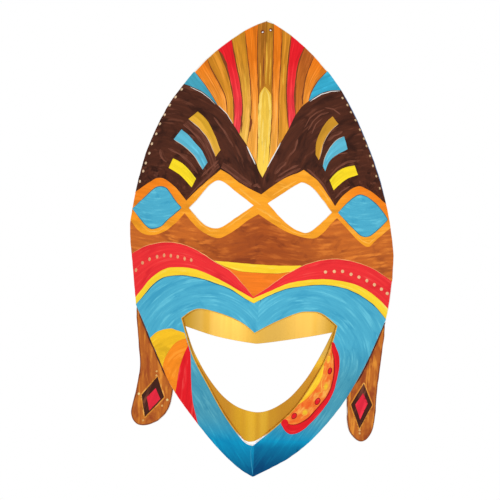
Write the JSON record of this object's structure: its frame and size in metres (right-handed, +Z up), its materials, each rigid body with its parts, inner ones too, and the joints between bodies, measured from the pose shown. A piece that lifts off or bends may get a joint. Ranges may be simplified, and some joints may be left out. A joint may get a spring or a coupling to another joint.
{
  "type": "painted card mask",
  "caption": "Tall pointed face mask of bent, painted card with eye openings, a gilt plate behind a heart-shaped mouth and an ear lapped behind each jaw edge.",
  "frame": {"origin": "midway between the two hanging holes at the crown, on the back of the face sheet", "axes": "+Z up towards the crown tip, -Y the way the face looks, +X towards the viewer's right"},
  "size_m": [0.2202, 0.0532, 0.38],
  "materials": {
    "face_sheet": "satin",
    "lip_plate": "satin",
    "left_ear": "satin",
    "right_ear": "satin"
  },
  "bodies": {
    "root": {"face_sheet": "face_sheet", "lip_plate": "lip_plate", "left_ear": "left_ear", "right_ear": "right_ear"}
  },
  "joints": []
}
